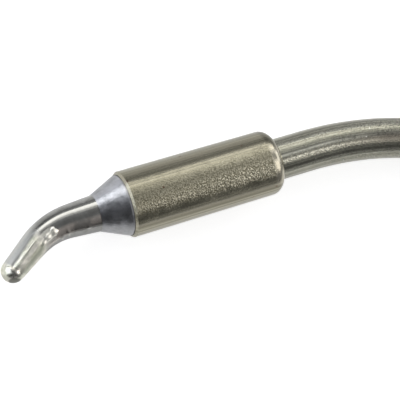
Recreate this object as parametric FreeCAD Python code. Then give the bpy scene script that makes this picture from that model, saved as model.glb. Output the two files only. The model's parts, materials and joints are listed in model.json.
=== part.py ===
import FreeCAD, Part

import math
import os

V = FreeCAD.Vector

# Frame while building, in millimetres.
# X runs along the sleeve's axis from the sleeve's front rim, at x = 0, to its rear.
# The tip points to -X. The needle and the shank both bend towards -Y.
# The last section lays the finished pieces on the floor and moves the origin under their middle.

# Driving sizes: the heater sleeve
sleeve_diameter = 5.0
sleeve_length = 12.4
sleeve_wall = 0.20
sleeve_bevel = 0.17
sleeve_rear_wall = 1.0
sleeve_rear_rounding = 0.8

# Driving sizes: the tip's cone and needle
cone_reach = 2.19
needle_root_diameter = 2.75
cone_foot_blend = 0.35
needle_straight = 1.93
needle_bend_radius = 5.55
needle_bend_deg = 34.3
needle_bend_end_diameter = 2.01
needle_nose_run = 2.28
nose_radius = 0.867
bend_section_count = 5

# Driving sizes: the tip's rear, inside the sleeve
collar_length = 0.9
slug_tail_gap = 0.3

# Driving sizes: the heater
shield_wall = 0.25
coil_room = 0.25
ribbon_thickness = 0.16
ribbon_width = 0.8
ribbon_pitch = 1.2
former_wall = 0.30
former_flange_thickness = 0.4
lead_diameter = 0.24
rear_bush_length = 1.3

# Driving sizes: the shank and what runs through it
shank_diameter = 3.2
shank_wall = 0.25
shank_flange_thickness = 0.5
shank_straight_before_bend = 2.9
shank_bend_radius = 30.5
shank_bend_deg = 24.0
shank_run = 36.0
conductor_diameter = 0.8
ferrule_wall = 0.18
ferrule_length = 1.0

# Driving sizes: the contact end
insulator_plug_length = 4.0
insulator_nose_length = 2.5
insulator_step = 0.2
contact_diameter = 1.2
contact_reach = 3.5
contact_grip = 1.5
contact_bevel = 0.3

# Clearances, each a gap between two surfaces
mouth_clearance = 0.03
shield_clearance = 0.04
former_clearance = 0.03
ribbon_clearance = 0.02
shank_hole_clearance = 0.02
insulation_clearance = 0.04
conductor_clearance = 0.03
lead_clearance = 0.03
contact_clearance = 0.02

# Radii worked out inwards from the sleeve
sleeve_radius = sleeve_diameter / 2
mouth_radius = sleeve_radius - sleeve_wall
collar_radius = mouth_radius - mouth_clearance
shield_outer_radius = mouth_radius - shield_clearance
shield_inner_radius = shield_outer_radius - shield_wall
flange_radius = shield_inner_radius - shield_clearance
ribbon_outer_radius = shield_inner_radius - coil_room
ribbon_inner_radius = ribbon_outer_radius - ribbon_thickness
former_radius = ribbon_inner_radius - ribbon_clearance
former_bore_radius = former_radius - former_wall
slug_radius = former_bore_radius - former_clearance

# Radii worked out inwards from the shank
shank_radius = shank_diameter / 2
shank_bore_radius = shank_radius - shank_wall
insulation_radius = shank_bore_radius - insulation_clearance
conductor_radius = conductor_diameter / 2
insulation_bore_radius = conductor_radius + conductor_clearance
contact_radius = contact_diameter / 2
lead_radius = lead_diameter / 2
ferrule_bore_radius = conductor_radius + conductor_clearance
ferrule_radius = ferrule_bore_radius + ferrule_wall
bush_bore_radius = ferrule_radius + lead_clearance
lead_height = former_radius + lead_clearance + lead_radius

# Stations along X, worked out forwards from the sleeve's rear
rear_wall_x = sleeve_length - sleeve_rear_wall
shank_front_x = rear_wall_x - shank_flange_thickness
bush_front_x = shank_front_x - rear_bush_length
former_flange_x = bush_front_x - former_flange_thickness
slug_end_x = bush_front_x - slug_tail_gap
needle_root_x = -cone_reach
needle_root_radius = needle_root_diameter / 2
needle_bend_end_radius = needle_bend_end_diameter / 2

# The cone's full line meets the bevel's inner edge at the sleeve's rim, and the collar cuts it off
bevel_inner_radius = sleeve_radius - sleeve_bevel
cone_slope = (bevel_inner_radius - needle_root_radius) / cone_reach
cone_start_x = -(bevel_inner_radius - collar_radius) / cone_slope


def tube(radius, bore, x_from, x_to):
    """A straight tube along X."""
    length = x_to - x_from
    outer = Part.makeCylinder(radius, length, V(x_from, 0, 0), V(1, 0, 0))
    inner = Part.makeCylinder(bore, length, V(x_from, 0, 0), V(1, 0, 0))
    return outer.cut(inner)


def turned(points):
    """A solid turned about X from its outline, given as (x, radius) corners."""
    corners = [V(x, r, 0) for x, r in points]
    face = Part.Face(Part.makePolygon(corners + corners[:1]))
    return face.revolve(V(0, 0, 0), V(1, 0, 0), 360)


def bend_to_shank(shape):
    """Move a piece drawn about X from x = 0 onward to the far end of the shank's bend."""
    moved = shape.copy()
    moved.rotate(V(0, 0, 0), V(0, 0, 1), -shank_bend_deg)
    moved.translate(bend_end_point)
    return moved


def bent_rod(radius, x_from, run_length):
    """A solid rod along the shank's centre line, from x_from to run_length past the bend."""
    lead_in = Part.makeCylinder(radius, bend_start_x - x_from, V(x_from, 0, 0), V(1, 0, 0))
    disc = Part.Face(Part.Wire(Part.makeCircle(radius, V(bend_start_x, 0, 0), V(1, 0, 0))))
    bend = disc.revolve(V(bend_start_x, -shank_bend_radius, 0), V(0, 0, 1), -shank_bend_deg)
    run = bend_to_shank(Part.makeCylinder(radius, run_length, V(0, 0, 0), V(1, 0, 0)))
    return lead_in.fuse([bend, run]).removeSplitter()


# The shank's centre line: straight, an arc towards -Y, then straight again
bend_start_x = sleeve_length + shank_straight_before_bend
shank_bend_rad = math.radians(shank_bend_deg)
bend_end_point = V(
    bend_start_x + shank_bend_radius * math.sin(shank_bend_rad),
    -shank_bend_radius * (1 - math.cos(shank_bend_rad)),
    0,
)

# Sleeve: one drawn cup with a bevelled mouth, a rounded rear edge and a hole for the shank
sleeve_hole_radius = shank_radius + shank_hole_clearance
sleeve = turned([
    (sleeve_bevel, sleeve_radius),
    (sleeve_length, sleeve_radius),
    (sleeve_length, sleeve_hole_radius),
    (rear_wall_x, sleeve_hole_radius),
    (rear_wall_x, mouth_radius),
    (0, mouth_radius),
    (0, bevel_inner_radius),
])
rear_edges = [
    edge for edge in sleeve.Edges
    if abs(edge.BoundBox.XMin - sleeve_length) < Part.Precision.approximation()
    and abs(edge.BoundBox.XMax - sleeve_length) < Part.Precision.approximation()
    and edge.BoundBox.YMax > sleeve_hole_radius + shank_hole_clearance
]
sleeve = sleeve.makeFillet(sleeve_rear_rounding, rear_edges)

# Tip, turned part: slug, collar, cone and the needle's straight root
needle_turn_rad = math.radians(needle_bend_deg)
needle_bend_length = needle_bend_radius * needle_turn_rad
root_taper = (needle_root_radius - needle_bend_end_radius) / (needle_straight + needle_bend_length)
needle_bend_x = needle_root_x - needle_straight
bend_start_radius = needle_root_radius - root_taper * needle_straight
tip_body = turned([
    (slug_end_x, 0),
    (slug_end_x, slug_radius),
    (collar_length, slug_radius),
    (collar_length, collar_radius),
    (cone_start_x, collar_radius),
    (needle_root_x, needle_root_radius),
    (needle_bend_x, bend_start_radius),
    (needle_bend_x, 0),
])
foot_edges = [
    edge for edge in tip_body.Edges
    if abs(edge.BoundBox.XMin - needle_root_x) < Part.Precision.approximation()
    and abs(edge.BoundBox.XMax - needle_root_x) < Part.Precision.approximation()
]
tip_body = tip_body.makeFillet(cone_foot_blend, foot_edges)


def needle_point(turn):
    """The needle's centre line at this turn of its bend."""
    return V(
        needle_bend_x - needle_bend_radius * math.sin(turn),
        -needle_bend_radius * (1 - math.cos(turn)),
        0,
    )


def needle_direction(turn):
    return V(-math.cos(turn), -math.sin(turn), 0)


# Tip, bent part: round sections that shrink along the bend
sections = []
for number in range(bend_section_count):
    turn = needle_turn_rad * number / (bend_section_count - 1)
    radius = bend_start_radius - root_taper * needle_bend_radius * turn
    circle = Part.makeCircle(radius, needle_point(turn), needle_direction(turn))
    sections.append(Part.Wire(circle))
needle_bend = Part.makeLoft(sections, True)

# Tip, nose: a straight taper that runs into a ball without an edge
nose_direction = needle_direction(needle_turn_rad)
nose_centre = needle_point(needle_turn_rad) + nose_direction * needle_nose_run
nose_taper_rad = math.asin((needle_bend_end_radius - nose_radius) / needle_nose_run)
nose_cone_length = needle_nose_run + nose_radius * math.sin(nose_taper_rad)
nose_cone = Part.makeCone(
    needle_bend_end_radius,
    nose_radius * math.cos(nose_taper_rad),
    nose_cone_length,
    needle_point(needle_turn_rad),
    nose_direction,
)
nose = Part.makeSphere(nose_radius, nose_centre, nose_direction, math.degrees(nose_taper_rad), 90, 360)
tip = tip_body.fuse([needle_bend, nose_cone, nose])

# Former: a ceramic tube on the slug, with a flange at its rear that has a hole for the lead
former = turned([
    (collar_length, former_bore_radius),
    (collar_length, former_radius),
    (former_flange_x, former_radius),
    (former_flange_x, flange_radius),
    (bush_front_x, flange_radius),
    (bush_front_x, former_bore_radius),
])
lead_hole_radius = lead_radius + lead_clearance
lead_hole = Part.makeCylinder(
    lead_hole_radius, former_flange_thickness, V(former_flange_x, 0, lead_height), V(1, 0, 0)
)
former = former.cut(lead_hole)

# Heater coil: flat ribbon wound on the former, from the collar to the former's flange
coil_travel = former_flange_x - collar_length - ribbon_width
coil_turns = math.floor(coil_travel / ribbon_pitch)
helix_height = coil_turns * ribbon_pitch
ribbon_mid_radius = (ribbon_inner_radius + ribbon_outer_radius) / 2
helix = Part.makeHelix(ribbon_pitch, helix_height, ribbon_mid_radius)
half_thickness = ribbon_thickness / 2
half_width = ribbon_width / 2
ribbon_corners = [
    V(ribbon_mid_radius - half_thickness, 0, -half_width),
    V(ribbon_mid_radius + half_thickness, 0, -half_width),
    V(ribbon_mid_radius + half_thickness, 0, half_width),
    V(ribbon_mid_radius - half_thickness, 0, half_width),
]
ribbon_profile = Part.makePolygon(ribbon_corners + ribbon_corners[:1])
heater_coil = Part.Wire(helix).makePipeShell([ribbon_profile], True, True)
heater_coil.rotate(V(0, 0, 0), V(0, 1, 0), 90)
heater_coil.rotate(V(0, 0, 0), V(1, 0, 0), 180)
heater_coil.translate(V(collar_length + half_width, 0, 0))
coil_end_x = collar_length + helix_height + ribbon_width

# Coil lead: a wire from the coil's last turn, through the hole and inwards to the ferrule
lead_x = bush_front_x + lead_radius + lead_clearance
lead_along = Part.makeCylinder(
    lead_radius, lead_x - coil_end_x, V(coil_end_x, 0, lead_height), V(1, 0, 0)
)
lead_corner = Part.makeSphere(lead_radius, V(lead_x, 0, lead_height))
lead_inward = Part.makeCylinder(
    lead_radius, lead_height - ferrule_radius, V(lead_x, 0, lead_height), V(0, 0, -1)
)
coil_lead = lead_along.fuse([lead_corner, lead_inward]).removeSplitter()

# Shield: a tube around the coil, held between the tip's collar and the sleeve's rear wall
shield = tube(shield_outer_radius, shield_inner_radius, collar_length, rear_wall_x)

# Rear bush: a ceramic ring behind the former, grooved in front for the lead
bush_x_after_lead = lead_x + lead_radius + lead_clearance
rear_bush = tube(flange_radius, bush_bore_radius, bush_front_x, shank_front_x)
groove = Part.makeBox(
    bush_x_after_lead - bush_front_x,
    2 * lead_hole_radius,
    flange_radius,
    V(bush_front_x, -lead_hole_radius, 0),
)
rear_bush = rear_bush.cut(groove)

# Ferrule: a crimped tube that joins the lead to the centre conductor
ferrule_front_x = bush_front_x + lead_clearance
ferrule = tube(ferrule_radius, ferrule_bore_radius, ferrule_front_x, ferrule_front_x + ferrule_length)

# Shank: a bent tube with a flange inside the sleeve that keeps it from being pulled out
shank_flange = Part.makeCylinder(flange_radius, shank_flange_thickness, V(shank_front_x, 0, 0), V(1, 0, 0))
shank_bore = bent_rod(shank_bore_radius, shank_front_x, shank_run)
shank = bent_rod(shank_radius, shank_front_x, shank_run).fuse(shank_flange).cut(shank_bore)

# Centre conductor: a rod from the ferrule to the contact, along the shank's bend
conductor_run = shank_run - insulator_plug_length + contact_grip
conductor = bent_rod(conductor_radius, ferrule_front_x, conductor_run)

# Insulating tubes: one in front of the shank's bend and one behind it hold the conductor in the middle
insulation_front = tube(insulation_radius, insulation_bore_radius, shank_front_x, bend_start_x)
insulation_rear = bend_to_shank(
    tube(insulation_radius, insulation_bore_radius, 0, shank_run - insulator_plug_length)
)

# Contact insulator: a plug in the shank's rear end with a collar that closes the tube
plug_bore_radius = contact_radius + contact_clearance
insulator_end = shank_run + insulator_nose_length
contact_insulator = bend_to_shank(turned([
    (shank_run - insulator_plug_length, plug_bore_radius),
    (shank_run - insulator_plug_length, insulation_radius),
    (shank_run, insulation_radius),
    (shank_run, shank_radius - insulator_step),
    (insulator_end, shank_radius - insulator_step),
    (insulator_end, plug_bore_radius),
]))

# Contact: a pin with a bevelled end, drilled in front for the conductor
contact_front = shank_run - insulator_plug_length
contact_end = insulator_end + contact_reach
drill_radius = conductor_radius + conductor_clearance
contact = bend_to_shank(turned([
    (contact_front, drill_radius),
    (contact_front, contact_radius),
    (contact_end - contact_bevel, contact_radius),
    (contact_end, contact_radius - contact_bevel),
    (contact_end, 0),
    (contact_front + contact_grip, 0),
    (contact_front + contact_grip, drill_radius),
]))

# At rest the sleeve lies along the floor and the shank's rear end comes down to it
shank_end_y = bend_end_point.y - shank_run * math.sin(shank_bend_rad)
rest_roll_deg = math.degrees(math.asin((sleeve_radius - shank_radius) / -shank_end_y))

nodes = {
    "tip": tip,
    "sleeve": sleeve,
    "shank": shank,
    "former": former,
    "heater_coil": heater_coil,
    "coil_lead": coil_lead,
    "shield": shield,
    "rear_bush": rear_bush,
    "ferrule": ferrule,
    "conductor": conductor,
    "insulation_front": insulation_front,
    "insulation_rear": insulation_rear,
    "contact_insulator": contact_insulator,
    "contact": contact,
}
for shape in nodes.values():
    shape.rotate(V(0, 0, 0), V(1, 0, 0), rest_roll_deg)
box = Part.makeCompound(list(nodes.values())).optimalBoundingBox(False)
origin = V(box.Center.x, box.Center.y, box.ZMin)

os.makedirs("parts", exist_ok=True)
for name, shape in nodes.items():
    shape.translate(origin * -1)
    shape.exportStep("parts/" + name + ".step")
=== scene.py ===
import json
import math

import bpy
from mathutils import Matrix, Vector, noise


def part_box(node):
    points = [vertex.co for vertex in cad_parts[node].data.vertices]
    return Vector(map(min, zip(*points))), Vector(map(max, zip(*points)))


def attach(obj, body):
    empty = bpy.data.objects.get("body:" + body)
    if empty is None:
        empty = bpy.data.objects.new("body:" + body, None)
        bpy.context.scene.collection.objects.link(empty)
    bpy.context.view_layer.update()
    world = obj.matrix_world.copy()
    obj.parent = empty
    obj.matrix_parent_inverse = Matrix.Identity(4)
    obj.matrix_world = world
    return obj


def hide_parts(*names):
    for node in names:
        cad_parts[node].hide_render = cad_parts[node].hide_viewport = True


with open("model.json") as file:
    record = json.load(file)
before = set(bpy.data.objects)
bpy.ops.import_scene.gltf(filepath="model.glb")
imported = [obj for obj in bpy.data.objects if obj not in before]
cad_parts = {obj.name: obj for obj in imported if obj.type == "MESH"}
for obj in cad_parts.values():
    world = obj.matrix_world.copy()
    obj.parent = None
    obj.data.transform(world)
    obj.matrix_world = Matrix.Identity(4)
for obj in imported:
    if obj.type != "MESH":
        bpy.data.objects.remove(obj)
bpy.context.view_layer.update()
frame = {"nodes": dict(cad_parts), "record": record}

# Lengths below are in millimetres, in a straightened frame: x runs back from the sleeve's front rim along
# the part's centre line, and stays a length along that line where the needle or the shank bends.
MM = 0.001

# Sizes that the frame gives
mount = next(m for m in frame["record"]["mounts"] if m["name"] == "shank")
sleeve_low, sleeve_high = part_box("sleeve")
sleeve_radius = (sleeve_high.z - sleeve_low.z) / 2 / MM
sleeve_length = (sleeve_high.x - sleeve_low.x) / MM
shank_radius = mount["dims"]["r_mm"]
shank_run = mount["dims"]["length_mm"]
shank_axis = Vector(mount["axis"])
shank_turn = math.acos(shank_axis.x)
rest_roll = math.atan2(-shank_axis.z, -shank_axis.y)

# Sizes repeated from the part: the sleeve and the tip
sleeve_wall = 0.20
sleeve_bevel = 0.17
sleeve_rear_wall = 1.0
sleeve_rear_rounding = 0.8
collar_clearance = 0.03
collar_length = 0.9
collar_radius = sleeve_radius - sleeve_wall - collar_clearance
slug_length = 9.3
slug_radius = 1.25
cone_reach = 2.19
root_radius = 1.375
cone_foot_blend = 0.35
needle_straight = 1.93
needle_bend_radius = 5.55
needle_turn = math.radians(34.3)
bend_end_radius = 1.005
nose_run = 2.28
nose_radius = 0.867

# Sizes repeated from the part: the shank and its contact end
shank_wall = 0.25
shank_hole_clearance = 0.02
shank_flange_thickness = 0.5
shank_flange_radius = 1.97
insulator_plug_length = 4.0
insulator_plug_clearance = 0.04
insulator_nose_length = 2.5
insulator_step = 0.2
contact_radius = 0.6
contact_clearance = 0.02
contact_reach = 3.5
contact_bevel = 0.3

# What follows from those sizes
mouth_radius = sleeve_radius - sleeve_wall
rim_radius = sleeve_radius - sleeve_bevel
hole_radius = shank_radius + shank_hole_clearance
bore_radius = shank_radius - shank_wall
rear_wall_x = sleeve_length - sleeve_rear_wall
bend_start_x = -cone_reach - needle_straight
bend_end_x = bend_start_x - needle_bend_radius * needle_turn
nose_x = bend_end_x - nose_run

# How finely the skins are cut: the longest step along x, the points around, and the steps in the nose's ball
tube_step = 0.5
tip_step = 0.08
sleeve_around, tip_around, shank_around, insulator_around, contact_around = 160, 200, 128, 96, 72
nose_steps = 24
# A radius under on_axis is one point on the axis, and an edge that turns more than sharp_edge stays sharp
on_axis = 1e-6
sharp_edge = math.radians(35)

# Solder on the needle: where it starts, inside its bend and outside
solder_start_inside = -5.5
solder_start_outside = -6.6
# Its film. Angles are in degrees, with the outside of the bend at 90, and drifts are in degrees a millimetre.
film_crest = 18.6
film_crest_drift = -6.1
film_flank = 18
film_flank_at_ball = 78
film_inner_edge = -85
film_thickness = 0.05
film_growth = 0.04
# Its ridge of beads, and the drop under the ball
first_bead = -5.8
bead_spacing = 0.62
ridge_start = -5
ridge_drift = -9
ridge_half_width = 21
ridge_narrowing = 8
lump_height = 0.07
drop_height = 0.05
drop_angle = -25

# Flux and solder spatter on the bare needle: place, angle in degrees, length, width in degrees, height
spatter_limit_x = -cone_reach - 0.5
spatter_solder_share = 0.4
spatters = [
    (-3.16, -41, 0.08, 5, 0.06),
    (-4.80, -44, 0.11, 18, 0.04),
    (-5.42, -55, 0.15, 12, 0.03),
]

# The local frame of the part, straight and unrolled, laid where the frame's sleeve lies
rim_centre = Vector((sleeve_low.x, (sleeve_low.y + sleeve_high.y) / 2, (sleeve_low.z + sleeve_high.z) / 2))
roll_matrix = Matrix.Rotation(rest_roll, 4, "X")
lay = Matrix.Translation(rim_centre) @ roll_matrix @ Matrix.Scale(MM, 4)

# The shank's bend, from the mount: its run starts where the arc ends
run_start = lay.inverted() @ (Vector(mount["pos_m"]) - shank_axis * shank_run / 2 * MM)
shank_bend_radius = -run_start.y / (1 - math.cos(shank_turn))
shank_bend_start = run_start.x - shank_bend_radius * math.sin(shank_turn)
shank_end = shank_bend_start + shank_bend_radius * shank_turn + shank_run


class CentreLine:
    """Straight from x = 0, then an arc towards -Y, then straight on.

    side is 1 for the shank, which runs back, and -1 for the needle, which runs forward.
    """

    def __init__(self, side, bend_start, bend_radius, turn):
        self.side = side
        self.bend_start = bend_start
        self.bend_radius = bend_radius
        self.turn = turn

    def place(self, x):
        """The point at x, and the two directions across the line: away from the bend, and up."""
        s = x * self.side
        angle = min(max((s - self.bend_start) / self.bend_radius, 0), self.turn)
        before = min(s, self.bend_start)
        after = max(s - self.bend_start - self.bend_radius * self.turn, 0)
        along = before + self.bend_radius * math.sin(angle) + after * math.cos(angle)
        down = self.bend_radius * (1 - math.cos(angle)) + after * math.sin(angle)
        point = Vector((self.side * along, -down, 0))
        outward = Vector((self.side * math.sin(angle), math.cos(angle), 0))
        return point, outward, Vector((0, 0, 1))


shank_line = CentreLine(1, shank_bend_start, shank_bend_radius, shank_turn)
needle_line = CentreLine(-1, cone_reach + needle_straight, needle_bend_radius, needle_turn)


def rounded(corners, steps=6):
    """An outline with its corners rounded: each corner is (x, radius) or (x, radius, rounding)."""
    outline = []
    count = len(corners)
    for i, corner in enumerate(corners):
        here = Vector(corner[:2])
        rounding = corner[2] if len(corner) > 2 else 0
        if not rounding:
            outline.append(here)
            continue
        back = (Vector(corners[i - 1][:2]) - here).normalized()
        on = (Vector(corners[(i + 1) % count][:2]) - here).normalized()
        half = back.angle(on) / 2
        reach = rounding / math.tan(half)
        centre = here + (back + on).normalized() * rounding / math.sin(half)
        first = here + back * reach - centre
        last = here + on * reach - centre
        swing = first.angle_signed(last)
        for step in range(steps + 1):
            turn = -swing * step / steps
            outline.append(centre + Matrix.Rotation(turn, 2) @ first)
    return outline


def finely(outline, step, closed):
    """The same outline with no stretch along x longer than step."""
    fine = []
    ends = outline[1:] + (outline[:1] if closed else [])
    for start, end in zip(outline, ends):
        parts = max(1, math.ceil(abs(end.x - start.x) / step))
        fine += [start.lerp(end, i / parts) for i in range(parts)]
    if not closed:
        fine.append(outline[-1])
    return fine


def joined_rows(rows, around, closed):
    """The faces between each row of points and the next: triangles where a row is one point on the axis."""
    faces = []
    next_rows = rows[1:] + (rows[:1] if closed else [])
    for one, two in zip(rows, next_rows):
        for i in range(around):
            j = (i + 1) % around
            quad = [one[i % len(one)], two[i % len(two)], two[j % len(two)], one[j % len(one)]]
            faces.append(list(dict.fromkeys(quad)))
    return faces


def shown(name, mesh):
    """The mesh as an object, with its faces turned outwards and smooth but for sharp edges."""
    piece = bpy.data.objects.new(name, mesh)
    bpy.context.collection.objects.link(piece)
    bpy.context.view_layer.objects.active = piece
    piece.select_set(True)
    bpy.ops.object.mode_set(mode="EDIT")
    bpy.ops.mesh.select_all(action="SELECT")
    bpy.ops.mesh.normals_make_consistent(inside=False)
    bpy.ops.object.mode_set(mode="OBJECT")
    piece.select_set(False)
    mesh.shade_smooth()
    mesh.set_sharp_from_angle(angle=sharp_edge)
    return piece


def turned(name, line, outline, around, closed=False, swell=None):
    """A piece turned about a centre line. Angle 0 is up and a quarter turn is away from the bend.

    A closed outline makes a tube. swell(x, angle, radius) gives each point's own radius and its share of
    solder. The mesh keeps that share and each point's straightened place for the materials.
    """
    verts, straight, solder, rows = [], [], [], []
    for x, radius in outline:
        point, outward, up = line.place(x)
        row = []
        for i in range(around if radius > on_axis else 1):
            angle = 2 * math.pi * i / around
            r, share = swell(x, angle, radius) if swell else (radius, 0)
            side = outward * math.sin(angle) + up * math.cos(angle)
            row.append(len(verts))
            verts.append(point + side * r)
            straight.append((x, r * math.sin(angle), r * math.cos(angle)))
            solder.append(share)
        rows.append(row)
    mesh = bpy.data.meshes.new(name)
    mesh.from_pydata(verts, [], joined_rows(rows, around, closed))
    places = mesh.attributes.new("straight", "FLOAT_VECTOR", "POINT")
    places.data.foreach_set("vector", [value for place in straight for value in place])
    shares = mesh.attributes.new("solder", "FLOAT", "POINT")
    shares.data.foreach_set("value", solder)
    mesh.transform(lay)
    return shown(name, mesh)


class Nodes:
    """Short calls for the nodes of a material or a world. A value is a number, a colour or a socket."""

    # A Mix node has its own sockets for numbers and for colours
    number_a, number_b, number_out = 2, 3, 0
    colour_a, colour_b, colour_out = 6, 7, 2

    def __init__(self, tree):
        self.tree = tree

    def node(self, kind, inputs=None, **settings):
        made = self.tree.nodes.new(kind)
        for key, value in settings.items():
            setattr(made, key, value)
        for key, value in (inputs or {}).items():
            self.feed(value, made.inputs[key])
        return made

    def feed(self, value, socket):
        if isinstance(value, bpy.types.NodeSocket):
            self.tree.links.new(value, socket)
        elif socket.type == "RGBA":
            socket.default_value = (*value, 1)
        else:
            socket.default_value = value

    def remap(self, value, low, high, to_low=0.0, to_high=1.0):
        inputs = {"Value": value, "From Min": low, "From Max": high, "To Min": to_low, "To Max": to_high}
        return self.node("ShaderNodeMapRange", inputs, clamp=True).outputs[0]

    def math(self, operation, one, two=0.0):
        return self.node("ShaderNodeMath", {0: one, 1: two}, operation=operation).outputs[0]

    def times(self, one, two):
        return self.math("MULTIPLY", one, two)

    def plus(self, one, two):
        return self.math("ADD", one, two)

    def off(self, value, middle):
        """How far value is from middle, to either side."""
        return self.math("ABSOLUTE", self.math("SUBTRACT", value, middle))

    def vector(self, operation, inputs, output="Vector"):
        return self.node("ShaderNodeVectorMath", inputs, operation=operation).outputs[output]

    def mix(self, share, one, two):
        """The colour one where share is 0, and two where it is 1."""
        inputs = {"Factor": share, self.colour_a: one, self.colour_b: two}
        return self.node("ShaderNodeMix", inputs, data_type="RGBA").outputs[self.colour_out]

    def between(self, share, one, two):
        """The number one where share is 0, and two where it is 1."""
        inputs = {"Factor": share, self.number_a: one, self.number_b: two}
        return self.node("ShaderNodeMix", inputs, data_type="FLOAT").outputs[self.number_out]


class Finish(Nodes):
    """A material with one Principled shader. Keywords set the shader's own sockets."""

    def __init__(self, name, **constants):
        self.material = bpy.data.materials.new(name)
        self.material.use_nodes = True
        super().__init__(self.material.node_tree)
        self.shader = self.tree.nodes["Principled BSDF"]
        for socket, value in constants.items():
            self.shader.inputs[socket.replace("_", " ")].default_value = value

    def straight(self, scale=(1, 1, 1)):
        """The straightened place in millimetres, times scale."""
        place = self.node("ShaderNodeAttribute", attribute_name="straight").outputs["Vector"]
        return self.vector("MULTIPLY", {0: place, 1: scale})

    def along(self):
        """How far back from the sleeve's rim, in millimetres."""
        return self.node("ShaderNodeSeparateXYZ", {0: self.straight()}).outputs["X"]

    def across(self):
        """How far out from the centre line, away from the bend, in millimetres."""
        return self.node("ShaderNodeSeparateXYZ", {0: self.straight()}).outputs["Y"]

    def sideways(self):
        """1 on the outermost line of the bends, 0 on the top and bottom lines, -1 on the innermost line."""
        around = self.vector("NORMALIZE", {0: self.straight((0, 1, 1))})
        return self.node("ShaderNodeSeparateXYZ", {0: around}).outputs["Y"]

    def own_place(self, scale=1):
        """The place in millimetres, times scale, for pieces that have no straightened one."""
        place = self.node("ShaderNodeTexCoord").outputs["Object"]
        return self.vector("MULTIPLY", {0: place, 1: (scale / MM,) * 3})

    def clouds(self, place, scale, detail=3.0, roughness=0.5):
        inputs = {"Vector": place, "Scale": scale, "Detail": detail, "Roughness": roughness}
        return self.node("ShaderNodeTexNoise", inputs).outputs["Fac"]

    def cells(self, place, scale):
        return self.node("ShaderNodeTexVoronoi", {"Vector": place, "Scale": scale}).outputs["Distance"]

    def bump(self, height, distance, normal=None):
        """distance is the height of the bump in millimetres."""
        inputs = {"Height": height, "Distance": distance * MM}
        if normal:
            inputs["Normal"] = normal
        return self.node("ShaderNodeBump", inputs).outputs["Normal"]

    def surface(self, colour=None, roughness=None, normal=None):
        for value, socket in ((colour, "Base Color"), (roughness, "Roughness"), (normal, "Normal")):
            if value is not None:
                self.feed(value, self.shader.inputs[socket])
        return self.material


def drawn_metal(f, tones, dark_line, light_line, scratch_tone):
    """The colour of drawn metal, with lines along it and short scratches, and the scratches' own noise.

    tones are the two colours of the wide lines. dark_line and light_line are the thin ones' (share, colour).
    """
    wide = f.clouds(f.straight((0.05, 1.6, 1.6)), 1.0, 3.0, 0.6)
    thin = f.clouds(f.straight((0.02, 5.5, 5.5)), 1.0, 3.0, 0.6)
    scratches = f.clouds(f.straight((0.5, 12, 12)), 1.0, 3.0, 0.6)
    dark_share, dark_tone = dark_line
    light_share, light_tone = light_line
    tone = f.mix(f.remap(wide, 0.38, 0.62), *tones)
    tone = f.mix(f.remap(thin, 0.38, 0.50, dark_share, 0.0), tone, dark_tone)
    tone = f.mix(f.remap(thin, 0.53, 0.64, 0.0, light_share), tone, light_tone)
    tone = f.mix(f.remap(scratches, 0.45, 0.75, 0.0, 0.35), tone, scratch_tone)
    return tone, scratches


def painted_streaks(f, tone, where, streaks, within=1.0):
    """Long painted highlights and painted shade at their own places around the part: each is (place, half its
    width, share, colour).
    """
    for place, half_width, share, colour in streaks:
        streak = f.remap(f.off(where, place), 0.0, half_width, share, 0.0)
        tone = f.mix(f.times(streak, within), tone, colour)
    return tone


def fine_grain(f):
    """The grain of the sleeve's orange peel and of the shank."""
    return f.clouds(f.straight(), 8.5, 1.5, 0.6)


def rubbed_and_lit_edges(f, tone, rear_edge, patches):
    """The sleeve's edges: a rear rounding rubbed bright, with a painted highlight on it and painted shade on
    its outer side, and a bevel rubbed bright with a painted highlight that fades towards the inside of the
    bend.
    """
    sideways = f.sideways()
    # Painted shade on the rear rounding's outer side
    rear_painted_shade = f.times(rear_edge, f.remap(sideways, 0.3, 0.5, 0.0, 0.55))
    tone = f.mix(rear_painted_shade, tone, (0.11, 0.105, 0.08))
    # The rear rounding rubbed bright in patches, with a painted highlight only where the lamps reflect
    outer, inner = f.remap(sideways, 0.25, 0.55, 1.0, 0.0), f.remap(sideways, -0.8, -0.4)
    rear_rub_and_highlight = f.times(rear_edge, f.math("MINIMUM", outer, inner))
    tone = f.mix(f.times(rear_rub_and_highlight, f.remap(patches, 0.35, 0.55, 0.5, 1.0)), tone, (0.60, 0.56, 0.45))
    # The bevel rubbed bright, with a painted highlight that fades towards the inside of the bend
    outer, inner = f.remap(sideways, 0.7, 0.95, 0.6, 0.1), f.remap(sideways, -0.4, 0.4, 0.05, 0.6)
    front_rub_and_highlight = f.remap(f.along(), sleeve_bevel + 0.02, sleeve_bevel - 0.04)
    return f.mix(f.times(front_rub_and_highlight, f.math("MINIMUM", outer, inner)), tone, (0.66, 0.62, 0.50))


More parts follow.
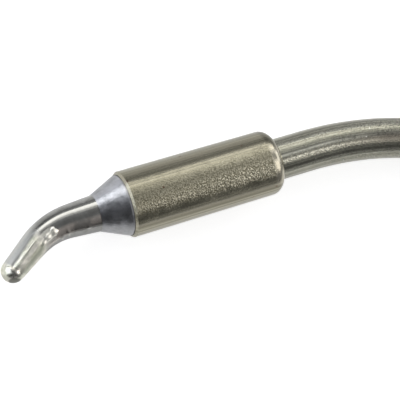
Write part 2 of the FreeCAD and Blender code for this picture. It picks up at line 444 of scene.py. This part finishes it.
def plated_sleeve():
    """Warm nickel plating: drawn lines, painted reflections in streaks, orange peel with painted glints,
    specks, and edges rubbed bright with painted highlights and shade.
    """
    f = Finish("sleeve_plate", Metallic=1.0)
    place = f.straight()
    grain = fine_grain(f)
    patches = f.clouds(place, 0.9, 3.0)
    rear_edge = f.remap(f.along(), sleeve_length - 1.1, sleeve_length - 0.85)

    # Orange peel on the side that faces up, roughest in a band towards the rear
    from_peel = f.plus(f.off(f.across(), -0.15), f.times(patches, 1.4))
    peel = f.times(f.remap(from_peel, 1.45, 2.1, 1.0, 0.15), f.remap(rear_edge, 0.0, 1.0, 1.0, 0.1))
    # A band towards the rear where the peel is bumpiest and painted glints go
    rearward = f.remap(f.along(), 0.5, sleeve_length - 3, 0.25, 1.0)
    band = f.times(f.remap(f.off(f.across(), -0.65), 0.25, 0.8, 1.0, 0.15), rearward)

    tone, scratches = drawn_metal(
        f,
        tones=((0.215, 0.205, 0.155), (0.30, 0.285, 0.22)),
        dark_line=(0.75, (0.13, 0.12, 0.08)),
        light_line=(0.65, (0.44, 0.41, 0.32)),
        scratch_tone=(0.15, 0.14, 0.095),
    )
    # Lighter where the peel is: partly the peel's own tone, partly a painted sheen of the light its grain
    # scatters
    tone = f.mix(f.times(peel, 0.6), tone, (0.37, 0.345, 0.255))
    # Painted reflections at set places around the sleeve: painted highlights in the light streaks, painted
    # shade in the dark one
    tone = painted_streaks(f, tone, f.sideways(), [
        (0.475, 0.035, 0.6, (0.10, 0.095, 0.07)),
        (0.60, 0.05, 0.5, (0.44, 0.41, 0.32)),
        (-0.25, 0.18, 0.5, (0.52, 0.485, 0.37)),
        (-0.72, 0.08, 0.6, (0.44, 0.41, 0.33)),
    ])
    dark_grains = f.times(f.remap(grain, 0.36, 0.50, 0.7, 0.0), peel)
    tone = f.mix(dark_grains, tone, (0.15, 0.14, 0.095))
    # Painted glints: near-white grains in the band, standing in for light caught by the peel's bumps
    painted_glints = f.times(f.remap(grain, 0.54, 0.64), f.times(band, peel))
    tone = f.mix(painted_glints, tone, (0.96, 0.90, 0.71))
    specks = f.remap(f.cells(place, 0.7), 0.05, 0.08, 0.7, 0.0)
    tone = f.mix(specks, tone, (0.12, 0.05, 0.03))
    tone = rubbed_and_lit_edges(f, tone, rear_edge, patches)

    uneven = f.times(peel, f.remap(band, 0.1, 1.0, 0.45, 1.6))
    normal = f.bump(f.times(grain, uneven), 0.07, f.bump(scratches, 0.004))
    return f.surface(tone, f.remap(peel, 0.1, 1.0, 0.18, 0.38), normal)


def bare_needle(f, mottle, dull):
    """The needle's plating, with a faint heat tint inside the bend, painted highlights and painted shade
    along it, and a dull end with a painted highlight on its outer rim.
    """
    inside = f.remap(f.off(f.across(), -0.50), 0.15, 0.42, 1.0, 0.0)
    tint = f.times(inside, f.remap(f.clouds(f.straight(), 1.1, 3.0), 0.35, 0.55, 0.35, 1.0))
    tone = f.mix(f.remap(mottle, 0.35, 0.65), (0.27, 0.27, 0.255), (0.38, 0.38, 0.365))
    tone = f.mix(tint, tone, (0.82, 0.74, 0.67))
    # Painted light along the needle: a painted highlight on its outer side, painted shade across its middle
    # and along its inner edge
    tone = painted_streaks(f, tone, f.sideways(), [
        (0.53, 0.16, 0.6, (0.60, 0.60, 0.57)),
        (0.05, 0.22, 0.5, (0.18, 0.18, 0.17)),
        (-0.95, 0.25, 0.8, (0.17, 0.17, 0.165)),
    ])
    # The rim's painted highlight follows the needle's taper
    rim = f.plus(f.across(), f.times(f.along(), -0.09))
    dull_tone = f.mix(f.remap(rim, 1.24, 1.57), (0.20, 0.20, 0.195), (0.55, 0.55, 0.53))
    return f.mix(dull, tone, dull_tone)


def satin_cone(f, mottle):
    """Satin chrome: a bluish grey, with a painted highlight on its outer side and painted shade along its
    outermost line, its middle and its inner side.
    """
    tone = f.mix(f.remap(mottle, 0.38, 0.62), (0.29, 0.295, 0.31), (0.51, 0.515, 0.54))
    return painted_streaks(f, tone, f.sideways(), [
        (0.70, 0.20, 0.9, (0.68, 0.69, 0.73)),
        (1.00, 0.16, 0.8, (0.26, 0.265, 0.28)),
        (-0.15, 0.30, 0.7, (0.22, 0.22, 0.24)),
        (-0.85, 0.25, 0.7, (0.26, 0.26, 0.26)),
    ])


def bright_solder(f, mottle, past_lumps):
    """Pale lumps, then a mottled film with painted highlights and painted shade along it. The nose's end and
    a patch under the ball are darkened with painted shade.
    """
    tone = f.mix(f.remap(mottle, 0.35, 0.65), (0.60, 0.61, 0.50), (0.86, 0.83, 0.75))
    # The painted streaks follow the needle's taper: a painted highlight down the middle, a thin painted shade
    # beside it, and a darker, greener band towards the inside
    where = f.math("SUBTRACT", f.across(), f.times(f.plus(f.along(), 7.2), 0.061))
    tone = painted_streaks(f, tone, where, [
        (-0.45, 0.28, 0.75, (0.44, 0.46, 0.37)),
        (0.00, 0.20, 0.9, (1.0, 0.97, 0.88)),
        (0.20, 0.05, 0.5, (0.50, 0.49, 0.42)),
    ], past_lumps)
    tone = f.mix(past_lumps, (0.92, 0.90, 0.82), tone)
    # Painted shade at the nose's very end
    end_shade = f.remap(f.along(), nose_x - 0.62, nose_x - 0.75, 0.0, 0.5)
    tone = f.mix(end_shade, tone, (0.30, 0.29, 0.25))
    # Painted shade on the ball's underside
    under_ball = (nose_x - 0.55, -0.5, 0.4)
    from_painted_shade = f.vector("DISTANCE", {0: f.straight(), 1: under_ball}, "Value")
    return f.mix(f.remap(from_painted_shade, 0.36, 0.52, 0.9, 0.0), tone, (0.10, 0.10, 0.085))


def plated_tip():
    """Satin chrome on the cone, a glossier needle, and bright solder with drawn-out ridges on its end."""
    f = Finish("tip_plate", Metallic=1.0)
    place = f.straight()
    mottle = f.clouds(place, 1.6, 5.0, 0.6)
    ridges = f.clouds(f.straight((0.35, 6.0, 6.0)), 1.0, 3.0)
    turning = f.clouds(f.straight((16, 1.2, 1.2)), 1.0, 2.0)
    solder = f.node("ShaderNodeAttribute", attribute_name="solder").outputs["Fac"]
    cone = f.remap(f.along(), -cone_reach - 0.03, -cone_reach + 0.03)
    dull = f.remap(f.along(), solder_start_outside + 0.3, solder_start_outside - 0.5)
    past_lumps = f.remap(f.along(), solder_start_outside - 0.1, solder_start_outside - 0.6)
    on_run = f.remap(f.along(), nose_x + 0.1, nose_x + 0.5)

    plate_tone = f.mix(cone, bare_needle(f, mottle, dull), satin_cone(f, mottle))
    tone = f.mix(solder, plate_tone, bright_solder(f, mottle, past_lumps))
    plate_roughness = f.plus(f.remap(mottle, 0.3, 0.7, 0.11, 0.17), f.times(cone, 0.18))
    plate_roughness = f.plus(plate_roughness, f.times(dull, 0.30))
    solder_roughness = f.plus(f.times(f.remap(ridges, 0.4, 0.6, 0.08, 0.26), on_run), 0.24)
    roughness = f.between(solder, plate_roughness, solder_roughness)

    normal = f.bump(f.times(turning, cone), 0.003)
    normal = f.bump(f.times(f.clouds(place, 7.0, 2.0), cone), 0.012, normal)
    ridge_share = f.times(f.times(solder, on_run), past_lumps)
    normal = f.bump(f.times(ridges, ridge_share), 0.09, normal)
    return f.surface(tone, roughness, normal)


def rear_marks_and_painted_light(f, tone, grain, wear, band, rearward):
    """Marks that grow towards the shank's back: a dark band along its middle, partly heat marking and partly
    painted shade, pits, painted glints on dented spots, and painted glints in its band.
    """
    # A dark band along the middle towards the back: partly heat marking, partly painted shade where the
    # lamps' reflection would show
    burnt_and_shaded = f.remap(f.off(f.sideways(), -0.05), 0.12, 0.42, 0.9, 0.0)
    burnt_and_shaded = f.times(burnt_and_shaded, f.remap(rearward, 0.5, 0.75))
    tone = f.mix(burnt_and_shaded, tone, (0.12, 0.11, 0.092))
    pits = f.times(f.remap(grain, 0.39, 0.46, 1.0, 0.0), rearward)
    tone = f.mix(f.times(pits, 0.9), tone, (0.10, 0.095, 0.08))
    # Painted glints in the band, kept off the dark middle band
    glint_share = f.times(band, f.remap(burnt_and_shaded, 0.0, 0.9, 0.7, 0.0))
    painted_glints = f.times(f.remap(grain, 0.54, 0.64), glint_share)
    tone = f.mix(painted_glints, tone, (0.80, 0.79, 0.68))
    # Painted glints: near-white spots where dented metal catches the light
    dent_glints = f.remap(f.cells(f.straight(), 1.7), 0.06, 0.09, 1.0, 0.0)
    dent_glints = f.times(dent_glints, f.times(rearward, f.remap(wear, 0.46, 0.54)))
    return f.mix(dent_glints, tone, (0.95, 0.95, 0.90))


def drawn_tube():
    """The shank's drawn tube: a fine grain, painted highlights and painted shade in long streaks, and marks
    towards its back.
    """
    f = Finish("shank_tube", Metallic=1.0)
    grain = fine_grain(f)
    wear = f.clouds(f.straight(), 0.7, 3.0)
    rearward = f.remap(f.along(), sleeve_length, sleeve_length + 14, 0.3, 1.0)

    # A grainy band along the front, and a faint grain all round towards the back: the band sets the bumps and
    # where painted glints go
    front_band = f.remap(f.off(f.sideways(), -0.18), 0.05, 0.22, 0.7, 0.0)
    front_band = f.times(front_band, f.remap(rearward, 0.5, 0.72, 1.0, 0.1))
    band = f.math("MAXIMUM", front_band, f.remap(rearward, 0.5, 0.9, 0.05, 0.14))

    tone, scratches = drawn_metal(
        f,
        tones=((0.27, 0.268, 0.215), (0.38, 0.375, 0.31)),
        dark_line=(0.6, (0.16, 0.155, 0.12)),
        light_line=(0.6, (0.54, 0.535, 0.45)),
        scratch_tone=(0.16, 0.155, 0.12),
    )
    # Painted highlights and painted shade: streaks at set places around the tube that stand in for the lamps'
    # reflections
    light = (0.62, 0.61, 0.52)
    dark = (0.14, 0.138, 0.11)
    tone = painted_streaks(f, tone, f.sideways(), [
        (0.82, 0.08, 0.8, dark),
        (0.61, 0.13, 0.6, light),
        (0.37, 0.08, 0.3, dark),
        (0.08, 0.08, 0.9, (0.90, 0.89, 0.76)),
        (-0.04, 0.05, 0.5, dark),
        (-0.16, 0.07, 0.5, light),
        (-0.38, 0.10, 0.3, dark),
        (-0.62, 0.08, 0.6, light),
    ])
    tone = rear_marks_and_painted_light(f, tone, grain, wear, band, rearward)

    height = f.times(grain, f.remap(band, 0.0, 1.0, 0.15, 1.0))
    normal = f.bump(height, 0.045, f.bump(scratches, 0.004))
    return f.surface(tone, f.remap(wear, 0.35, 0.65, 0.17, 0.27), normal)


def bare_metal(name, dark, light, grain, roughness):
    """A plain metal with brushed or drawn marks."""
    f = Finish(name, Metallic=1.0)
    clouds = f.clouds(f.own_place(), grain, 4.0)
    marks = f.clouds(f.own_place(9), 1.0, 2.0)
    tone = f.mix(f.remap(clouds, 0.35, 0.65), dark, light)
    rough = f.remap(marks, 0.3, 0.7, roughness - 0.06, roughness + 0.08)
    return f.surface(tone, rough, f.bump(marks, 0.006))


def fired_clay(name, dark, light):
    """A fired ceramic: matt, with a fine grain and a few darker grains."""
    f = Finish(name)
    place = f.own_place()
    grains = f.remap(f.cells(place, 5.0), 0.04, 0.16, 1.0, 0.0)
    tone = f.mix(f.remap(f.clouds(place, 1.5, 3.0), 0.35, 0.65), dark, light)
    tone = f.mix(f.times(grains, 0.25), tone, (0.45, 0.42, 0.36))
    return f.surface(tone, f.remap(grains, 0.0, 1.0, 0.55, 0.7), f.bump(f.clouds(place, 8.0, 2.0), 0.01))


def moulded_plastic(name, dark, light):
    """A moulded plastic with a faint mottle."""
    f = Finish(name, Subsurface_Weight=0.1, Subsurface_Scale=0.0005)
    place = f.own_place()
    clouds = f.clouds(place, 1.2, 3.0)
    tone = f.mix(f.remap(clouds, 0.3, 0.7), dark, light)
    return f.surface(tone, f.remap(clouds, 0.3, 0.7, 0.32, 0.48), f.bump(f.clouds(place, 6.0, 2.0), 0.006))


def step_up(value, low, high):
    """0 below low, 1 above high, smooth between. high may be the lower of the two."""
    share = min(max((value - low) / (high - low), 0), 1)
    return share * share * (3 - 2 * share)


class NeedlePoint:
    """A point of the needle, and what solder does there.

    turn is its angle in degrees, from -180 to 180, with the outside of the bend at 90. ragged is a noise
    that frays the solder's edges, and crest is the angle where its film is highest.
    """

    def __init__(self, x, angle):
        self.x = x
        self.turn = math.degrees(angle) if angle < math.pi else math.degrees(angle) - 360
        self.place = Vector((x, math.sin(angle), math.cos(angle)))
        self.ragged = noise.noise(self.place * 2.2)
        self.past_inside = solder_start_inside - x
        self.past_start = self.past_inside + 0.25 * self.ragged
        self.past_outside = solder_start_outside - x
        self.crest = film_crest + film_crest_drift * self.past_outside + 3 * self.ragged
        self.started = step_up(self.past_outside + 0.01 * (self.crest - self.turn), -0.1, 0.8)

    def spatter(self):
        """How high flux and solder have splashed on the bare needle."""
        height = 0
        for at, side, long, wide, high in spatters:
            height += high * math.exp(-((self.x - at) / long) ** 2 - ((self.turn - side) / wide) ** 2)
        return height

    def film(self):
        """The film's height: it has a steeper outer flank, which is wider where it meets the ball."""
        by_ball = step_up(self.x, nose_x + 0.2, nose_x - 0.4)
        flank = film_flank + (film_flank_at_ball - film_flank) * by_ball
        outer = (self.crest + flank - self.turn) / flank
        inner = (self.turn - film_inner_edge) / (self.crest - film_inner_edge)
        share = min(max(min(outer, inner), 0), 1) * self.started
        height = film_thickness + film_growth * min(max(self.past_outside, 0), 1)
        height *= 1 + 0.15 * noise.noise(self.place * 3.5)
        return share * height * step_up(self.x, nose_x - 0.75, nose_x - 0.05)

    def lumps(self):
        """A ragged ridge of beads where the solder starts: its share here, and how full its bead is."""
        beads = 0.88 + 0.16 * math.cos(2 * math.pi * (self.x - first_bead) / bead_spacing)
        beads += 0.05 * noise.noise(self.place * 3)
        ridge_turn = ridge_start + ridge_drift * self.past_inside + 4 * self.ragged
        half_width = ridge_half_width - ridge_narrowing * self.past_inside
        off_ridge = (self.turn - ridge_turn) / half_width / (0.4 + 0.6 * beads)
        ridge = step_up(1.1 - abs(off_ridge), 0, 0.6)
        return ridge * step_up(self.past_start, 0, 0.35) * step_up(self.past_outside, 0.7, 0.2), beads

    def drop(self):
        """The height of the small drop that hangs under the ball."""
        off_along = (self.x - nose_x + 0.15) / 0.27
        off_around = (self.turn - drop_angle) / 25
        return drop_height * math.exp(-off_along ** 2 - off_around ** 2)

    def solder_share(self, lumps):
        """What carries solder: the film, the lumps and the plate around them, and the whole nose."""
        inner = -32 - 50 * step_up(self.past_outside, -0.2, 1.2) + 8 * self.ragged
        film = self.started * step_up(self.turn, inner - 25, inner + 25)
        film *= step_up(self.turn, self.crest + 24, self.crest + 10)
        around_lumps = 0.85 * step_up(self.past_start, 0.1, 0.5) * step_up(self.turn, -50, -25)
        around_lumps *= step_up(self.turn, self.crest, self.crest - 10)
        nose = step_up(self.x, nose_x + 0.2, nose_x - 0.15)
        return max(film, around_lumps, step_up(lumps, 0.1, 0.3), nose)


def solder_swell(x, angle, radius):
    """The tip's radius and solder share at a point: spatter on the bare needle, then solder."""
    if x > spatter_limit_x or radius <= on_axis:
        return radius, 0
    point = NeedlePoint(x, angle)
    spatter = point.spatter()
    splashed = step_up(spatter, 0.01, 0.05) * spatter_solder_share
    if x > bend_start_x:
        return radius + spatter, splashed
    lumps, beads = point.lumps()
    height = point.film() + lump_height * lumps * beads + point.drop()
    return radius + spatter + height, max(splashed, point.solder_share(lumps))


# Sleeve: a cup with a bevelled mouth, softened edges and a rounded rear
sleeve_outline = rounded([
    (0, mouth_radius),
    (0, rim_radius, 0.01),
    (sleeve_bevel, sleeve_radius, 0.06),
    (sleeve_length, sleeve_radius, sleeve_rear_rounding),
    (sleeve_length, hole_radius, 0.06),
    (rear_wall_x, hole_radius),
    (rear_wall_x, mouth_radius),
], steps=8)
sleeve = turned("sleeve_skin", shank_line, finely(sleeve_outline, tube_step, True), sleeve_around, True)
sleeve.data.materials.append(plated_sleeve())
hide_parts("sleeve")

# Tip: slug, collar, cone and needle in one outline, with the nose's ball at its end
cone_slope = (rim_radius - root_radius) / cone_reach
cone_start = -(rim_radius - collar_radius) / cone_slope
tip_outline = rounded([
    (slug_length, 0),
    (slug_length, slug_radius),
    (collar_length, slug_radius),
    (collar_length, collar_radius),
    (cone_start, collar_radius, 0.03),
    (-cone_reach, root_radius, cone_foot_blend),
    (bend_end_x, bend_end_radius),
])
nose_taper = math.asin((bend_end_radius - nose_radius) / nose_run)
for step in range(nose_steps + 1):
    lift = nose_taper + (math.pi / 2 - nose_taper) * step / nose_steps
    tip_outline.append(Vector((nose_x - nose_radius * math.sin(lift), nose_radius * math.cos(lift))))
tip_outline[-1].y = 0
tip = turned("tip_skin", needle_line, finely(tip_outline, tip_step, False), tip_around, False, solder_swell)
tip.data.materials.append(plated_tip())
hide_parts("tip")

# Shank: the bent tube with its flange inside the sleeve
shank_front = rear_wall_x - shank_flange_thickness
shank_outline = rounded([
    (shank_front, bore_radius),
    (shank_front, shank_flange_radius),
    (rear_wall_x, shank_flange_radius),
    (rear_wall_x, shank_radius),
    (shank_end, shank_radius, 0.08),
    (shank_end, bore_radius, 0.04),
])
shank = turned("shank_skin", shank_line, finely(shank_outline, tube_step, True), shank_around, True)
shank.data.materials.append(drawn_tube())
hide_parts("shank")

# Contact end: the insulator's plug and nose, and the pin
plug_x = shank_end - insulator_plug_length
plug_radius = bore_radius - insulator_plug_clearance
insulator_end = shank_end + insulator_nose_length
insulator_radius = shank_radius - insulator_step
pin_hole_radius = contact_radius + contact_clearance
insulator_outline = rounded([
    (plug_x, pin_hole_radius),
    (plug_x, plug_radius),
    (shank_end, plug_radius),
    (shank_end, insulator_radius, 0.05),
    (insulator_end, insulator_radius, 0.15),
    (insulator_end, pin_hole_radius, 0.05),
])
insulator = turned("contact_insulator_skin", shank_line, insulator_outline, insulator_around, True)
insulator.data.materials.append(moulded_plastic("insulator_plastic", (0.68, 0.66, 0.60), (0.80, 0.79, 0.74)))
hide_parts("contact_insulator")

contact_end = insulator_end + contact_reach
contact_outline = rounded([
    (plug_x, 0),
    (plug_x, contact_radius),
    (contact_end - contact_bevel, contact_radius, 0.1),
    (contact_end, contact_radius - contact_bevel, 0.08),
    (contact_end, 0),
])
contact = turned("contact_skin", shank_line, contact_outline, contact_around)
contact.data.materials.append(bare_metal("contact_brass", (0.62, 0.47, 0.22), (0.80, 0.64, 0.34), 1.5, 0.22))
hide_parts("contact")

for piece in (sleeve, tip, shank, insulator, contact):
    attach(piece, "root")

# Hidden pieces keep their solids and get their own finishes
hidden_finishes = {
    "former": fired_clay("former_clay", (0.78, 0.76, 0.70), (0.88, 0.87, 0.83)),
    "rear_bush": fired_clay("bush_clay", (0.72, 0.69, 0.62), (0.84, 0.82, 0.77)),
    "heater_coil": bare_metal("coil_ribbon", (0.22, 0.20, 0.19), (0.45, 0.43, 0.40), 2.0, 0.4),
    "coil_lead": bare_metal("lead_wire", (0.25, 0.23, 0.22), (0.45, 0.43, 0.40), 2.0, 0.35),
    "shield": bare_metal("shield_metal", (0.42, 0.41, 0.38), (0.56, 0.55, 0.52), 1.0, 0.35),
    "ferrule": bare_metal("ferrule_brass", (0.60, 0.46, 0.22), (0.74, 0.62, 0.38), 2.0, 0.28),
    "conductor": bare_metal("copper", (0.60, 0.30, 0.18), (0.76, 0.45, 0.32), 1.0, 0.25),
    "insulation_front": moulded_plastic("tube_plastic", (0.78, 0.78, 0.74), (0.86, 0.86, 0.83)),
}
hidden_finishes["insulation_rear"] = hidden_finishes["insulation_front"]
for node, finish in hidden_finishes.items():
    frame["nodes"][node].data.materials.clear()
    frame["nodes"][node].data.materials.append(finish)

# Camera: where it stands is given by how the sleeve looks in a 400-pixel square view
view_pixels = 400
focal_pixels = 1303.5
rim_pixel = (122.93, 205.19)
rim_distance = 94.94
sleeve_rise = math.radians(16.77)
sleeve_recede = math.radians(20.18)
sensor_width = 36.0

# The part's own directions as the camera sees them: right, down and into the view
along_seen = Vector((
    math.cos(sleeve_rise) * math.cos(sleeve_recede),
    -math.sin(sleeve_rise) * math.cos(sleeve_recede),
    math.sin(sleeve_recede),
))
across_seen = Vector((-math.sin(sleeve_rise), -math.cos(sleeve_rise), 0))
up_seen = along_seen.cross(across_seen)
part_seen = Matrix((along_seen, across_seen, up_seen)).transposed()
rim_seen = Vector((
    (rim_pixel[0] - view_pixels / 2) / focal_pixels * rim_distance,
    (rim_pixel[1] - view_pixels / 2) / focal_pixels * rim_distance,
    rim_distance,
)) * MM
seen_to_frame = roll_matrix.to_3x3() @ part_seen.transposed()
camera_turn = (seen_to_frame @ Matrix.Diagonal((1, -1, -1))).to_4x4()
camera_data = bpy.data.cameras.new("camera")
camera_data.sensor_width = sensor_width
camera_data.lens = focal_pixels / view_pixels * sensor_width
camera_data.clip_start = 0.005
camera_data.clip_end = 10
camera = bpy.data.objects.new("camera", camera_data)
camera.matrix_world = Matrix.Translation(rim_centre - seen_to_frame @ rim_seen) @ camera_turn
bpy.context.collection.objects.link(camera)
bpy.context.scene.camera = camera
bpy.context.scene.view_settings.view_transform = "Standard"


def pool_of_light(f, centre_y, slimness, near, far, level):
    """A long oval on the floor beside the part, level bright up to near from its middle and faint past far.

    Its lengths are in metres, and it is 1 / slimness times as long as it is wide.
    """
    spot = f.node("ShaderNodeNewGeometry").outputs["Position"]
    place = f.vector("MULTIPLY_ADD", {0: spot, 1: (slimness, 1, 1), 2: (0, -centre_y, 0)})
    return f.remap(f.vector("LENGTH", {0: place}, "Value"), near, far, level, 0.05)


def floor_paper():
    """Pale paper that glows white to the camera, and shows in metal as two pools of light."""
    f = Finish("floor_paper", Roughness=0.9, Specular_IOR_Level=0.0)
    f.surface((0.80, 0.80, 0.80))
    ray = f.node("ShaderNodeLightPath").outputs
    seen_in_metal = f.math("MAXIMUM", ray["Is Glossy Ray"], ray["Is Transmission Ray"])
    sunny_side = pool_of_light(f, 0.006, 0.2, 0.004, 0.026, 0.82)
    shaded_side = pool_of_light(f, -0.015, 0.5, 0.020, 0.045, 0.42)
    pools = f.times(seen_in_metal, f.math("MAXIMUM", sunny_side, shaded_side))
    strength = f.times(f.math("MAXIMUM", ray["Is Camera Ray"], pools), 0.70)
    glow = f.node("ShaderNodeEmission", {"Color": (1, 1, 1), "Strength": strength})
    both = f.node("ShaderNodeAddShader", {0: f.shader.outputs[0], 1: glow.outputs[0]})
    f.feed(both.outputs[0], f.tree.nodes["Material Output"].inputs["Surface"])
    return f.material


# Floor: a pale sheet that keeps the object's shadow
floor_half = 3.0
floor_corners = [(x * floor_half, y * floor_half, 0) for x, y in ((-1, -1), (1, -1), (1, 1), (-1, 1))]
floor_mesh = bpy.data.meshes.new("floor")
floor_mesh.from_pydata(floor_corners, [], [(0, 1, 2, 3)])
floor_mesh.materials.append(floor_paper())
floor = bpy.data.objects.new("floor", floor_mesh)
bpy.context.collection.objects.link(floor)

# World: a dim room for reflections, lighter behind the part's rear and white to the camera
world = bpy.data.worlds.new("room")
bpy.context.scene.world = world
world.use_nodes = True
sky = Nodes(world.node_tree)
way = sky.node("ShaderNodeTexCoord").outputs["Generated"]
towards_rear = sky.vector("DOT_PRODUCT", {0: way, 1: (0.84, 0.42, 0.34)}, "Value")
room = sky.tree.nodes["Background"]
sky.feed((0.97, 0.98, 1.0), room.inputs["Color"])
sky.feed(sky.remap(towards_rear, -0.25, 1.0, 0.07, 0.55), room.inputs["Strength"])
white = sky.node("ShaderNodeBackground", {"Color": (1, 1, 1), "Strength": 1.0})
from_camera = sky.node("ShaderNodeLightPath").outputs["Is Camera Ray"]
seen = sky.node("ShaderNodeMixShader", {0: from_camera, 1: room.outputs[0], 2: white.outputs[0]})
sky.feed(seen.outputs[0], sky.tree.nodes["World Output"].inputs["Surface"])

lamp_distance = 0.5


def softbox(name, direction, spread, brightness, colour=(1, 1, 1)):
    """An area lamp that faces the sleeve, of a brightness that a mirror would show.

    direction is (turn from +X, height) and spread is (wide, high), in degrees.
    """
    azimuth, elevation = (math.radians(v) for v in direction)
    level = math.cos(elevation)
    way = Vector((math.cos(azimuth) * level, math.sin(azimuth) * level, math.sin(elevation)))
    data = bpy.data.lights.new(name, "AREA")
    data.shape = "RECTANGLE"
    data.size, data.size_y = (2 * lamp_distance * math.tan(math.radians(v) / 2) for v in spread)
    data.color = colour
    data.energy = brightness * math.pi * data.size * data.size_y
    lamp = bpy.data.objects.new(name, data)
    lamp.location = way * lamp_distance
    lamp.rotation_euler = way.to_track_quat("Z", "Y").to_euler()
    lamp.visible_camera = False
    bpy.context.collection.objects.link(lamp)


softbox("side", (84, 36), (80, 22), 1.70, (1.0, 0.985, 0.95))
softbox("side_high", (84, 53), (70, 12), 0.55, (1.0, 0.985, 0.95))
softbox("front", (156, 20), (74, 44), 1.60, (0.89, 0.94, 1.0))
softbox("rear", (330, 47), (28, 36), 1.45, (1.0, 0.96, 0.93))
softbox("behind", (8, 34), (30, 26), 1.10)
softbox("card", (272, 6), (50, 9), 0.30)
